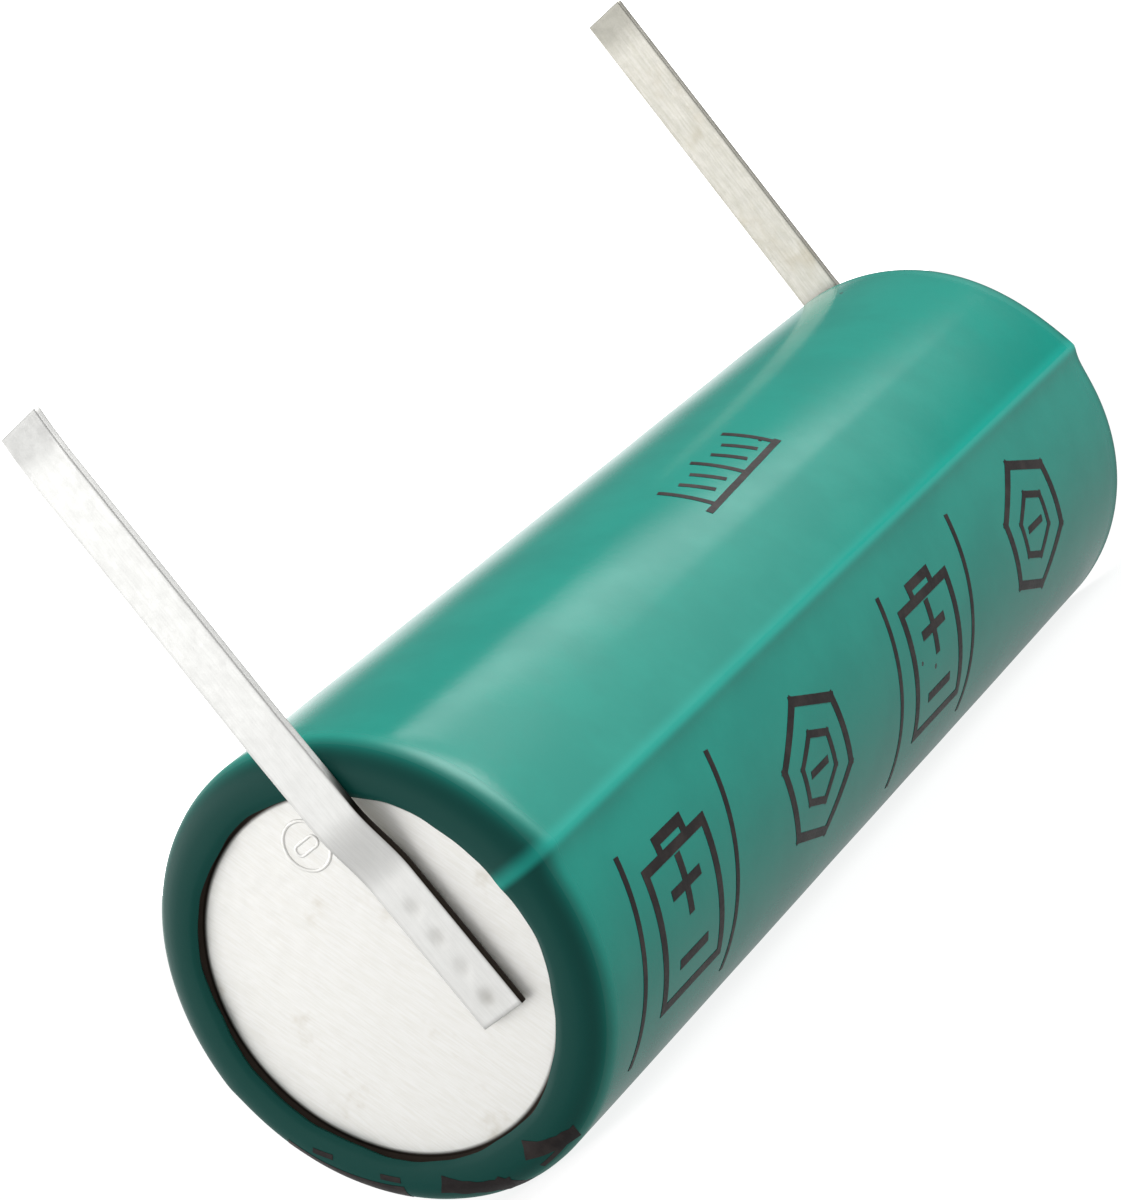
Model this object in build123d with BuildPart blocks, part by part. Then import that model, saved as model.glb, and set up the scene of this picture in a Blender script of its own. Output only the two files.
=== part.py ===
"""Rechargeable nickel-metal-hydride cell, A size, with a solder tag on each end.

The cell lies on its side. +Y runs along its axis from the negative end to the positive end, +Z is
the way that both tags point, and the origin is on the axis, half way along the sleeve.
Radii are taken from the axis. Stations along the axis are named *_y. Millimetres throughout.
"""

import os

from build123d import *

# Sleeve: PVC tube shrunk over the can, with its ends rolled over as lips
sleeve_diameter = 17.0
sleeve_length = 50.0
sleeve_wall = 0.2
lip_thickness = 0.25
negative_corner_radius = 1.0
positive_corner_radius = 0.6
negative_lip_width = 1.8
positive_lip_width = 2.7

# Gaps between pieces
fit_gap = 0.02
moving_gap = 0.05

# Can: deep-drawn steel cup, grooved and crimped at its open end
can_wall = 0.3
can_bottom_thickness = 0.4
bottom_recess_depth = 0.14
bottom_recess_land = 0.15
groove_width = 1.4
groove_depth = 1.0
crimp_width = 2.0
crimp_corner_radius = 0.45

# Insulating washer on the crimped rim
washer_thickness = 0.26
washer_inner_radius = 4.3
washer_corner_gap = 0.6

# Seal: plate and cap flange held in a nylon gasket
gasket_wall = 0.5
gasket_grip = 1.1
sealant_width = 0.5
plate_thickness = 0.5
plate_well_depth = 1.15
plate_well_radius = 2.75
plate_bend_radius = 0.15
vent_hole_radius = 0.7

# Terminal cap
cap_wall = 0.3
cap_radius = 3.6
cap_stand = 0.25
cap_corner_radius = 0.45
cap_foot_radius = 0.15
cap_vent_count = 3
cap_vent_radius = 0.4

# Safety valve
valve_rubber_radius = 1.9
valve_rubber_thickness = 0.7
valve_plate_radius = 2.0
valve_plate_thickness = 0.25
valve_boss_radius = 1.15
valve_boss_height = 0.4
valve_boss_edge = 0.1
spring_wire_diameter = 0.3
spring_radius = 1.65
spring_turns = 3

# Winding: four strips wound together, from the centre outwards, with as many half turns as fit
mandrel_least_radius = 1.2
positive_thickness = 0.62
negative_thickness = 0.40
separator_thickness = 0.13
edge_step = 0.6

# Collectors, insulator and lead
collector_thickness = 0.25
negative_collector_margin = 1.48
positive_collector_margin = 1.38
collector_hole_radius = 1.5
collector_slot_count = 6
collector_slot_length = 3.2
collector_slot_width = 0.7
insulator_thickness = 0.5
insulator_width = 2.1
lead_thickness = 0.2
lead_width = 3.0
lead_reach = 4.0
lead_start = 1.7
lead_weld_start = 1.0
head_room = 2.15

# Solder tags: offsets are along +X, leans are degrees from +Z towards +Y
tag_width = 1.95
tag_thickness = 0.3
weld_stand = 0.1
weld_radius = 0.4
weld_count = 4
weld_pitch = 1.25
weld_margin = 0.8
tag_bend_stand = 0.25
negative_tag_offset = 3.4
negative_tag_foot_end = -3.45
negative_tag_joggle_length = 2.7
negative_tag_lip_gap = 0.17
negative_tag_arm_length = 12.5
negative_tag_lean = 1.0
positive_tag_offset = 0.45
positive_tag_foot_end = -2.4
positive_tag_arm_length = 15.1
positive_tag_lean = 3.5

# Stations and radii that follow from the sizes above
negative_y = -sleeve_length / 2
positive_y = sleeve_length / 2
sleeve_radius = sleeve_diameter / 2
negative_opening_radius = sleeve_radius - negative_lip_width
positive_opening_radius = sleeve_radius - positive_lip_width
can_radius = sleeve_radius - sleeve_wall - fit_gap
can_inner_radius = can_radius - can_wall
can_foot_y = negative_y + lip_thickness + fit_gap
disc_y = can_foot_y + bottom_recess_depth
floor_y = disc_y + can_bottom_thickness
washer_top_y = positive_y - lip_thickness - fit_gap
crimp_y = washer_top_y - washer_thickness
gasket_top_y = crimp_y - can_wall
flange_top_y = gasket_top_y - gasket_wall
plate_y = flange_top_y - cap_wall
plate_under_y = plate_y - plate_thickness
gasket_under_y = plate_under_y - gasket_wall
groove_top_y = gasket_under_y - can_wall
groove_y = groove_top_y - groove_width / 2
groove_under_y = groove_top_y - groove_width
well_y = plate_y - plate_well_depth
well_under_y = well_y - plate_thickness
cap_y = positive_y + cap_stand
cap_ceiling_y = cap_y - cap_wall
lead_foot_y = well_under_y - head_room
winding_top_y = lead_foot_y - collector_thickness
winding_foot_y = floor_y + collector_thickness
tag_bend_z = sleeve_radius + tag_bend_stand
tag_foot_top = tag_bend_z - tag_thickness / 2 - moving_gap
negative_tag_y = negative_y - moving_gap
positive_tag_y = cap_y + weld_stand


def across(y):
    """Plane across the cell's axis at station y, facing the positive end."""
    return Plane(origin=(0, y, 0), x_dir=(1, 0, 0), z_dir=(0, 1, 0))


def finish(piece, name):
    """Labels a finished piece and writes it to its own file."""
    piece.part.label = name
    export_step(piece.part, f"parts/{name}.step")


os.makedirs("parts", exist_ok=True)

# Shrink sleeve: one thin wall turned round the axis, rolled inwards over both ends
with BuildPart() as shrink_sleeve:
    with BuildSketch(Plane.XY):
        with BuildLine():
            outside = FilletPolyline(
                (negative_opening_radius, negative_y),
                (sleeve_radius, negative_y),
                (sleeve_radius, positive_y),
                (positive_opening_radius, positive_y),
                radius=(negative_corner_radius, positive_corner_radius),
            )
            inside = FilletPolyline(
                (positive_opening_radius, positive_y - lip_thickness),
                (sleeve_radius - sleeve_wall, positive_y - lip_thickness),
                (sleeve_radius - sleeve_wall, negative_y + lip_thickness),
                (negative_opening_radius, negative_y + lip_thickness),
                radius=(positive_corner_radius - sleeve_wall, negative_corner_radius - sleeve_wall),
            )
            Line(outside @ 1, inside @ 0)
            Line(inside @ 1, outside @ 0)
        make_face()
    revolve(axis=Axis.Y)
finish(shrink_sleeve, "shrink_sleeve")

# Can: flat recessed bottom, straight wall, groove under the seal and rim crimped over the gasket
with BuildPart() as can:
    with BuildSketch(Plane.XY):
        recess_radius = negative_opening_radius + bottom_recess_land
        floor_radius = recess_radius - can_wall
        groove_radius = can_radius - groove_depth
        crimp_radius = can_radius - crimp_width
        can_corner_radius = negative_corner_radius - sleeve_wall
        with BuildLine():
            outside = FilletPolyline(
                (0, disc_y),
                (recess_radius - bottom_recess_depth, disc_y),
                (recess_radius, can_foot_y),
                (can_radius, can_foot_y),
                (can_radius, groove_under_y),
                (groove_radius, groove_y),
                (can_radius, groove_top_y),
                (can_radius, crimp_y),
                (crimp_radius, crimp_y),
                radius=(0, 0, can_corner_radius, can_wall, can_wall, can_wall, crimp_corner_radius),
            )
            inside = FilletPolyline(
                (crimp_radius, gasket_top_y),
                (can_inner_radius, gasket_top_y),
                (can_inner_radius, gasket_under_y - fit_gap),
                (groove_radius - can_wall, groove_y),
                (can_inner_radius, groove_under_y - can_wall),
                (can_inner_radius, can_foot_y + can_wall),
                (floor_radius, floor_y),
                (0, floor_y),
                radius=(0, 0, can_wall, can_wall, can_wall, 0),
            )
            Line(outside @ 1, inside @ 0)
            Line(inside @ 1, outside @ 0)
        make_face()
    revolve(axis=Axis.Y)
finish(can, "can")

# Insulating washer: fibre ring that lies on the crimped rim, under the sleeve's lip
with BuildPart() as insulating_washer:
    with BuildSketch(across(crimp_y)):
        Circle(can_radius - washer_corner_gap)
        Circle(washer_inner_radius, mode=Mode.SUBTRACT)
    extrude(amount=washer_thickness)
finish(insulating_washer, "insulating_washer")

# Sealing plate: steel disc, dished in the middle to make room for the valve
plate_radius = can_inner_radius - gasket_wall - 2 * fit_gap
with BuildPart() as sealing_plate:
    with BuildSketch(Plane.XY):
        well_under_radius = plate_well_radius - plate_thickness / 2
        shoulder_radius = plate_well_radius + plate_thickness / 2
        with BuildLine():
            outside = FilletPolyline(
                (vent_hole_radius, well_y),
                (plate_well_radius, well_y),
                (shoulder_radius, plate_y),
                (plate_radius, plate_y),
                radius=plate_bend_radius,
            )
            inside = FilletPolyline(
                (plate_radius, plate_under_y),
                (shoulder_radius + plate_thickness / 2, plate_under_y),
                (shoulder_radius, well_under_y),
                (vent_hole_radius, well_under_y),
                radius=plate_bend_radius,
            )
            Line(outside @ 1, inside @ 0)
            Line(inside @ 1, outside @ 0)
        make_face()
    revolve(axis=Axis.Y)
finish(sealing_plate, "sealing_plate")

# Sealing gasket: nylon channel round the edges of the plate and the cap's flange
with BuildPart() as sealing_gasket:
    gasket_radius = can_inner_radius - fit_gap
    grip_radius = gasket_radius - gasket_wall
    flange_inner_radius = grip_radius - gasket_grip
    with BuildSketch(Plane.XY):
        with BuildLine():
            Polyline(
                (flange_inner_radius, gasket_under_y),
                (gasket_radius, gasket_under_y),
                (gasket_radius, gasket_top_y),
                (flange_inner_radius, gasket_top_y),
                (flange_inner_radius, flange_top_y),
                (grip_radius, flange_top_y),
                (grip_radius, plate_under_y),
                (flange_inner_radius, plate_under_y),
                close=True,
            )
        make_face()
    revolve(axis=Axis.Y)
finish(sealing_gasket, "sealing_gasket")

# Terminal cap: pressed steel cap on a flange, with vent holes through its side wall
with BuildPart() as terminal_cap:
    with BuildSketch(Plane.XY):
        with BuildLine():
            outside = FilletPolyline(
                (0, cap_y),
                (cap_radius, cap_y),
                (cap_radius, flange_top_y),
                (plate_radius, flange_top_y),
                radius=(cap_corner_radius, cap_foot_radius),
            )
            inside = FilletPolyline(
                (plate_radius, plate_y),
                (cap_radius - cap_wall, plate_y),
                (cap_radius - cap_wall, cap_ceiling_y),
                (0, cap_ceiling_y),
                radius=(0, cap_corner_radius - cap_foot_radius),
            )
            Line(outside @ 1, inside @ 0)
            Line(inside @ 1, outside @ 0)
        make_face()
    revolve(axis=Axis.Y)
    for turn in range(cap_vent_count):
        outwards = Vector(0, 0, 1).rotate(Axis.Y, 360 / cap_vent_count * turn)
        port = Plane(origin=(0, (flange_top_y + cap_ceiling_y) / 2, 0), z_dir=outwards)
        with BuildSketch(port):
            Circle(cap_vent_radius)
        extrude(amount=cap_radius + cap_wall, mode=Mode.SUBTRACT)
finish(terminal_cap, "terminal_cap")

# Sealant: bead of bitumen in the corner between the gasket and the groove's shoulder
with BuildPart() as sealant_ring:
    bead_radius = gasket_radius - 2 * moving_gap
    with BuildSketch(Plane.XY):
        with BuildLine():
            Polyline(
                (bead_radius, gasket_under_y),
                (bead_radius - sealant_width, gasket_under_y),
                (bead_radius - sealant_width, gasket_under_y - sealant_width + 2 * moving_gap),
                close=True,
            )
        make_face()
    revolve(axis=Axis.Y)
finish(sealant_ring, "sealant_ring")

# Safety valve: a rubber disc over the vent hole, the plate that carries it, and its spring
with BuildPart() as valve_rubber:
    with BuildSketch(across(well_y)):
        Circle(valve_rubber_radius)
    extrude(amount=valve_rubber_thickness)
finish(valve_rubber, "valve_rubber")

valve_plate_y = well_y + valve_rubber_thickness
spring_seat_y = valve_plate_y + valve_plate_thickness
with BuildPart() as valve_plate:
    with BuildSketch(across(valve_plate_y)):
        Circle(valve_plate_radius)
    extrude(amount=valve_plate_thickness)
    with BuildSketch(across(spring_seat_y)):
        Circle(valve_boss_radius)
    extrude(amount=valve_boss_height)
    fillet(valve_plate.edges().group_by(Axis.Y)[-1], radius=valve_boss_edge)
finish(valve_plate, "valve_plate")

with BuildPart() as vent_spring:
    coil_start_y = spring_seat_y + spring_wire_diameter / 2 + fit_gap
    coil_end_y = cap_ceiling_y - spring_wire_diameter / 2 - fit_gap
    with BuildLine():
        coil = Helix(
            pitch=(coil_end_y - coil_start_y) / spring_turns,
            height=coil_end_y - coil_start_y,
            radius=spring_radius,
            center=(0, coil_start_y, 0),
            direction=(0, 1, 0),
        )
    with BuildSketch(Plane(origin=coil @ 0, z_dir=coil % 0)):
        Circle(spring_wire_diameter / 2)
    sweep()
finish(vent_spring, "vent_spring")


def collector(base_y, radius):
    """Flat nickel disc with a centre hole and slots that let the electrolyte through."""
    with BuildPart() as disc:
        with BuildSketch(across(base_y)):
            Circle(radius)
            Circle(collector_hole_radius, mode=Mode.SUBTRACT)
            slot_middle = (collector_hole_radius + radius) / 2
            first_slot = 180 / collector_slot_count
            with PolarLocations(slot_middle, collector_slot_count, start_angle=first_slot):
                SlotOverall(collector_slot_length, collector_slot_width, mode=Mode.SUBTRACT)
        extrude(amount=collector_thickness)
    return disc


negative_collector = collector(floor_y, can_inner_radius - negative_collector_margin)
finish(negative_collector, "negative_collector")
positive_collector = collector(winding_top_y, can_inner_radius - positive_collector_margin)
finish(positive_collector, "positive_collector")

# Top insulator: plastic ring that keeps the winding's edge off the groove
with BuildPart() as top_insulator:
    with BuildSketch(across(lead_foot_y)):
        Circle(can_inner_radius - moving_gap)
        Circle(can_inner_radius - moving_gap - insulator_width, mode=Mode.SUBTRACT)
    extrude(amount=insulator_thickness)
finish(top_insulator, "top_insulator")

# Positive lead: nickel strip folded over on itself, from the collector to the sealing plate
with BuildPart() as positive_lead:
    fold_y = (lead_foot_y + well_under_y) / 2
    fold_radius = head_room / 2
    with BuildSketch(Plane.XY):
        with BuildLine():
            CenterArc((lead_reach, fold_y), fold_radius, -90, 180)
            Line((lead_reach, well_under_y), (lead_weld_start, well_under_y))
            Line((lead_weld_start, well_under_y), (lead_weld_start, well_under_y - lead_thickness))
            Line(
                (lead_weld_start, well_under_y - lead_thickness),
                (lead_reach, well_under_y - lead_thickness),
            )
            CenterArc((lead_reach, fold_y), fold_radius - lead_thickness, -90, 180)
            Line((lead_reach, lead_foot_y + lead_thickness), (lead_start, lead_foot_y + lead_thickness))
            Line((lead_start, lead_foot_y + lead_thickness), (lead_start, lead_foot_y))
            Line((lead_start, lead_foot_y), (lead_reach, lead_foot_y))
        make_face()
    extrude(amount=lead_width / 2, both=True)
finish(positive_lead, "positive_lead")

# Winding: each strip is a spiral of half turns about two centres, so that all the strips stay
# parallel and a turn is one pitch larger than the turn inside it
strips_thickness = positive_thickness + negative_thickness + 2 * separator_thickness
pitch = strips_thickness + 4 * fit_gap
first_turn_width = pitch - fit_gap + pitch / 4
winding_radius = can_inner_radius - 2 * fit_gap
half_turns = 1 + int((winding_radius - mandrel_least_radius - first_turn_width) / (pitch / 2))
mandrel_radius = winding_radius - first_turn_width - (half_turns - 1) * pitch / 2


def wind(start_radius, thickness, first_half, foot_y, top_y):
    """Strip of a given thickness, wound from half turn first_half out to the last half turn."""
    with BuildPart() as strip:
        with BuildSketch(across(foot_y)):
            with BuildLine():
                for half in range(first_half, half_turns):
                    centre = (pitch / 4 * (-1) ** (half + 1), 0)
                    radius = start_radius + half * pitch / 2
                    start = 180 * (half % 2)
                    CenterArc(centre, radius, start, 180)
                    CenterArc(centre, radius + thickness, start, 180)
                first_side = (-1) ** first_half
                first_x = first_side * (start_radius + first_half * pitch / 2 - pitch / 4)
                Line((first_x, 0), (first_x + first_side * thickness, 0))
                last_side = (-1) ** half_turns
                last_x = last_side * (start_radius + half_turns * pitch / 2 - pitch / 4)
                Line((last_x, 0), (last_x + last_side * thickness, 0))
            make_face()
        extrude(amount=top_y - foot_y)
    return strip


separator_foot_y = winding_foot_y + edge_step
separator_top_y = winding_top_y - edge_step
positive_radius = mandrel_radius + separator_thickness + fit_gap
outer_separator_radius = positive_radius + positive_thickness + fit_gap
negative_radius = outer_separator_radius + separator_thickness + fit_gap
separator_inner = wind(mandrel_radius, separator_thickness, 0, separator_foot_y, separator_top_y)
finish(separator_inner, "separator_inner")
positive_electrode = wind(
    positive_radius, positive_thickness, 1, separator_foot_y + edge_step, winding_top_y
)
finish(positive_electrode, "positive_electrode")
separator_outer = wind(
    outer_separator_radius, separator_thickness, 0, separator_foot_y, separator_top_y
)
finish(separator_outer, "separator_outer")
negative_electrode = wind(
    negative_radius, negative_thickness, 0, winding_foot_y, separator_top_y - edge_step
)
finish(negative_electrode, "negative_electrode")


def tag_foot(offset, points, weld_start, weld_y):
    """Welded end of a tag, with its weld spots filling the gap to the face at weld_y.

    The points run along the strip's inner face as (y, z), and its thickness lies outside them."""
    outwards = 1 if weld_y > 0 else -1
    with BuildPart() as foot:
        with BuildSketch(Plane.YZ.offset(offset)):
            with BuildLine():
                inner = Polyline(*points)
                outer = Polyline(*[(y + outwards * tag_thickness, z) for y, z in points])
                Line(inner @ 0, outer @ 0)
                Line(inner @ 1, outer @ 1)
            make_face()
        extrude(amount=tag_width / 2, both=True)
        with BuildSketch(across(weld_y)):
            for spot in range(weld_count):
                with Locations((offset, -(weld_start + weld_pitch * spot))):
                    Circle(weld_radius)
        extrude(amount=outwards * weld_stand)
    return foot


def tag_arm(offset, bend_y, length, lean):
    """Free end of a tag, with a round end of half its thickness on the bend line."""
    with BuildPart() as arm:
        with BuildSketch(Plane.YZ.offset(offset)):
            with Locations(Location((bend_y, tag_bend_z, 0), (0, 0, -lean))):
                Circle(tag_thickness / 2)
                Rectangle(tag_thickness, length, align=(Align.CENTER, Align.MIN))
        extrude(amount=tag_width / 2, both=True)
    return arm


# Negative tag: flat on the can's bottom, stepped out over the sleeve's lip, then straight
negative_foot_y = disc_y - weld_stand
tag_far_edge = negative_tag_offset + tag_width / 2
joggle_top = (negative_opening_radius**2 - tag_far_edge**2) ** 0.5 - negative_tag_lip_gap
negative_tag = tag_foot(
    negative_tag_offset,
    [
        (negative_foot_y, negative_tag_foot_end),
        (negative_foot_y, joggle_top - negative_tag_joggle_length),
        (negative_tag_y, joggle_top),
        (negative_tag_y, tag_foot_top),
    ],
    negative_tag_foot_end + weld_margin,
    disc_y,
)
finish(negative_tag, "negative_tag")
negative_tag_arm = tag_arm(
    negative_tag_offset,
    negative_tag_y - tag_thickness / 2,
    negative_tag_arm_length,
    negative_tag_lean,
)
finish(negative_tag_arm, "negative_tag_arm")

# Positive tag: straight across the cap and clear of the sleeve's lip
positive_tag = tag_foot(
    positive_tag_offset,
    [(positive_tag_y, positive_tag_foot_end), (positive_tag_y, tag_foot_top)],
    positive_tag_foot_end + weld_margin,
    cap_y,
)
finish(positive_tag, "positive_tag")
positive_tag_arm = tag_arm(
    positive_tag_offset,
    positive_tag_y + tag_thickness / 2,
    positive_tag_arm_length,
    positive_tag_lean,
)
finish(positive_tag_arm, "positive_tag_arm")
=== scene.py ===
import math

import bpy
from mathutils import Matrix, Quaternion, Vector


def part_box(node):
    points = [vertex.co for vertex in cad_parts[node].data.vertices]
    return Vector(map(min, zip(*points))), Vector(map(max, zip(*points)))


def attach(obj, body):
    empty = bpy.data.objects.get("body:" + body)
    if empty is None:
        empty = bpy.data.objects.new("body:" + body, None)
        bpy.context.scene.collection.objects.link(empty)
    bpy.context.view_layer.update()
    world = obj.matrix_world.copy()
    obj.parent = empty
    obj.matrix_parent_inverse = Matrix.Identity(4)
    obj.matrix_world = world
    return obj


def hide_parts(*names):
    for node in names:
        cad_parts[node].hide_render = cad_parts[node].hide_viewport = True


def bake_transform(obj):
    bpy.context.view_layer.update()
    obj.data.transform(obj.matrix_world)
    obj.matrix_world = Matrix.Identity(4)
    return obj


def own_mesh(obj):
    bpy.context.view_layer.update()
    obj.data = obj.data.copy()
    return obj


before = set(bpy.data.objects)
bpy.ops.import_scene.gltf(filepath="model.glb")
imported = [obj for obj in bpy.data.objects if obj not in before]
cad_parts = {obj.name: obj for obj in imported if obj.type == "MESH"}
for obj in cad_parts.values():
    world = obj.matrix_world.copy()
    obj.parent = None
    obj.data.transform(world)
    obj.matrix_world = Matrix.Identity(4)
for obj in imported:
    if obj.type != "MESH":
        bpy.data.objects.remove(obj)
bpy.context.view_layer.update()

# CAMERA
# The picture is taken from beside the negative end, almost level with the cell and with the camera
# tilted over on its side, so that the cell runs up to the right and its tags point up to the left.
look_azimuth = math.radians(35.9)
look_elevation = math.radians(-0.3)
camera_tilt = math.radians(-39.4)
scene = bpy.context.scene
bpy.ops.object.camera_add(location=(0.0839, -0.1199, 0.0070))
camera = bpy.context.object
camera.name = "camera"
forward = Vector((
    -math.sin(look_azimuth) * math.cos(look_elevation),
    math.cos(look_azimuth) * math.cos(look_elevation),
    -math.sin(look_elevation),
))
camera.rotation_mode = "QUATERNION"
camera.rotation_quaternion = forward.to_track_quat("-Z", "Y") @ Quaternion((0, 0, 1), camera_tilt)
camera.data.lens = 115.5
camera.data.sensor_width = 36
camera.data.shift_x = 0.0388
camera.data.shift_y = -0.0313
camera.data.clip_start = 0.005
camera.data.dof.use_dof = False
scene.camera = camera
scene.view_settings.view_transform = "Standard"

# STUDIO
# A white table in a light tent. A wide soft lamp stands above, behind and to the right. A white
# panel and a narrow strip light behind the positive end run a band of light down the sleeve, and a
# soft box on the left lights the negative end. The tent itself glows in broad patches.
cell_low, cell_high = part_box("shrink_sleeve")


def clear_selection():
    """Leaves nothing selected, so that the next operator acts on its own piece alone."""
    bpy.ops.object.select_all(action="DESELECT")


def add_node(tree, kind, **settings):
    """Adds a shader node; a setting names an attribute of the node or, failing that, an input."""
    node = tree.nodes.new(kind)
    for name, value in settings.items():
        if hasattr(node, name):
            setattr(node, name, value)
        else:
            node.inputs[name.replace("_", " ")].default_value = value
    return node


def math_node(tree, operation, first, second=None, third=None):
    """Adds a Math node whose inputs are sockets or numbers, and returns its output."""
    node = add_node(tree, "ShaderNodeMath", operation=operation)
    for socket, value in zip(node.inputs, (first, second, third)):
        if isinstance(value, bpy.types.NodeSocket):
            tree.links.new(value, socket)
        elif value is not None:
            socket.default_value = value
    return node.outputs[0]


def remap(tree, value, from_low, from_high, to_low, to_high):
    """Smoothly maps a socket from one range of numbers to another."""
    node = add_node(tree, "ShaderNodeMapRange", interpolation_type="SMOOTHSTEP")
    tree.links.new(value, node.inputs["Value"])
    node.inputs["From Min"].default_value = from_low
    node.inputs["From Max"].default_value = from_high
    node.inputs["To Min"].default_value = to_low
    node.inputs["To Max"].default_value = to_high
    return node.outputs["Result"]


# The tent's bright patches: the way each one lies, how far it reaches (as cosines) and its strength
tent_patches = [
    ((-0.75, 0.65, -0.10), 0.78, 0.97, 1.30),
    ((0.0, 0.20, 1.0), 0.10, 0.95, 0.32),
    ((-0.90, -0.40, 0.20), 0.40, 0.95, 1.15),
    ((0.50, -0.85, 0.30), 0.30, 0.95, 0.60),
]
world = bpy.data.worlds.new("light_tent")
world.use_nodes = True
scene.world = world
tree = world.node_tree
room = tree.nodes["Background"]
room.inputs["Color"].default_value = (1, 1, 1, 1)
direction = add_node(tree, "ShaderNodeTexCoord")
path = add_node(tree, "ShaderNodeLightPath")
glow = path.outputs["Is Camera Ray"]
for towards, far, near, strength in tent_patches:
    facing = add_node(tree, "ShaderNodeVectorMath", operation="DOT_PRODUCT")
    tree.links.new(direction.outputs["Generated"], facing.inputs[0])
    facing.inputs[1].default_value = Vector(towards).normalized()
    patch = remap(tree, facing.outputs["Value"], far, near, 0, strength)
    glow = math_node(tree, "ADD", glow, patch)
tree.links.new(glow, room.inputs["Strength"])

floor_size = 6.0
table_grey = 0.15
# The table lights the cell by its glow, and the camera sees it brighter, so that it reads as white
table_glow = 0.36
table_seen = 0.87
clear_selection()
bpy.ops.mesh.primitive_plane_add(size=floor_size, location=(0, 0, cell_low.z))
floor = bpy.context.object
floor.name = "white_table"
table = bpy.data.materials.new("white_table")
table.use_nodes = True
tree = table.node_tree
paint = tree.nodes["Principled BSDF"]
paint.inputs["Base Color"].default_value = (table_grey, table_grey, table_grey, 1)
paint.inputs["Roughness"].default_value = 0.9
paint.inputs["Specular IOR Level"].default_value = 0
paint.inputs["Emission Color"].default_value = (1, 1, 1, 1)
path = add_node(tree, "ShaderNodeLightPath")
seen = path.outputs["Is Camera Ray"]
glow = math_node(tree, "MULTIPLY_ADD", seen, table_seen - table_glow, table_glow)
tree.links.new(glow, paint.inputs["Emission Strength"])
floor.data.materials.append(table)

lamp_from = Vector((0.72, 0.5, 0.69))
lamp_spread = math.radians(40)
bpy.ops.object.light_add(type="SUN")
lamp = bpy.context.object
lamp.name = "overhead_lamp"
lamp.data.energy = 2.9
lamp.data.angle = lamp_spread
lamp.rotation_euler = (-lamp_from).to_track_quat("-Z", "Y").to_euler()


def stand_light(name, towards, distance, size, power):
    """Stands an oblong soft light that faces the cell; the size is its width and height."""
    place = Vector(towards).normalized() * distance
    bpy.ops.object.light_add(type="AREA", location=place)
    light = bpy.context.object
    light.name = name
    light.data.shape = "RECTANGLE"
    light.data.size, light.data.size_y = size
    light.data.energy = power
    light.rotation_euler = (-place).to_track_quat("-Z", "Y").to_euler()
    return light


stand_light("left_box", (-0.85, -0.55, 0.25), 0.35, (0.35, 0.35), 0.40)
panel_tilt = math.radians(-34)
panel = stand_light("white_panel", (0.555, 0.725, 0.44), 0.5, (0.27, 0.55), 0.46)
panel.rotation_euler.rotate_axis("Z", panel_tilt)
strip_light = stand_light("strip_light", (0.22, 0.80, 0.56), 0.5, (0.05, 0.20), 0.050)
strip_light.rotation_euler.rotate_axis("Z", panel_tilt)

# SHRINK SLEEVE
# A tube of green PVC film, laid flat on its roll and shrunk over the can with hot air. The two
# folds of the flat tube stay as soft ridges down its sides, and its ends draw in over the can as
# lips.
sleeve_radius = cell_high.z
sleeve_end = cell_high.y
film_thickness = 0.00018
negative_opening = 0.0067
positive_opening = 0.0058
negative_corner = 0.0010
positive_corner = 0.0006
lip_dip = 0.0001
lip_roll = 0.0003
ring_points = 360
body_rings = 48
corner_rings = 8


def set_out_corner(corner, end_y, start, finish):
    """Stations (radius, y) round a corner of the sleeve, from angle start to finish in degrees."""
    stations = []
    centre_radius = sleeve_radius - corner
    centre_y = end_y - math.copysign(corner, end_y)
    for step in range(corner_rings + 1):
        angle = math.radians(start + (finish - start) * step / corner_rings)
        radius = centre_radius + corner * math.cos(angle)
        stations.append((radius, centre_y + corner * math.sin(angle)))
    return stations


stations = [
    (negative_opening, -sleeve_end + lip_dip),
    (negative_opening + lip_roll / 2, -sleeve_end + lip_dip / 4),
    (negative_opening + lip_roll, -sleeve_end),
]
stations += set_out_corner(negative_corner, -sleeve_end, -90, 0)
body_start = -sleeve_end + negative_corner
body_end = sleeve_end - positive_corner
for ring in range(1, body_rings):
    stations.append((sleeve_radius, body_start + (body_end - body_start) * ring / body_rings))
stations += set_out_corner(positive_corner, sleeve_end, 0, 90)
stations += [
    (positive_opening + lip_roll, sleeve_end),
    (positive_opening + lip_roll / 2, sleeve_end - lip_dip / 4),
    (positive_opening, sleeve_end - lip_dip),
]

clear_selection()
bpy.ops.mesh.primitive_circle_add(
    vertices=ring_points,
    radius=stations[0][0],
    location=(0, stations[0][1], 0),
    rotation=(math.pi / 2, 0, 0),
)
sleeve = bpy.context.object
sleeve.name = "sleeve_film"
bpy.ops.object.transform_apply(location=True, rotation=True, scale=True)
bpy.ops.object.mode_set(mode="EDIT")
bpy.ops.mesh.select_all(action="SELECT")
for (radius, y), (next_radius, next_y) in zip(stations, stations[1:]):
    bpy.ops.mesh.extrude_region_move(TRANSFORM_OT_translate={"value": (0, next_y - y, 0)})
    bpy.ops.transform.resize(value=(next_radius / radius, 1, next_radius / radius))
bpy.ops.mesh.select_all(action="SELECT")
bpy.ops.mesh.normals_make_consistent(inside=False)
bpy.ops.object.mode_set(mode="OBJECT")


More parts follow.
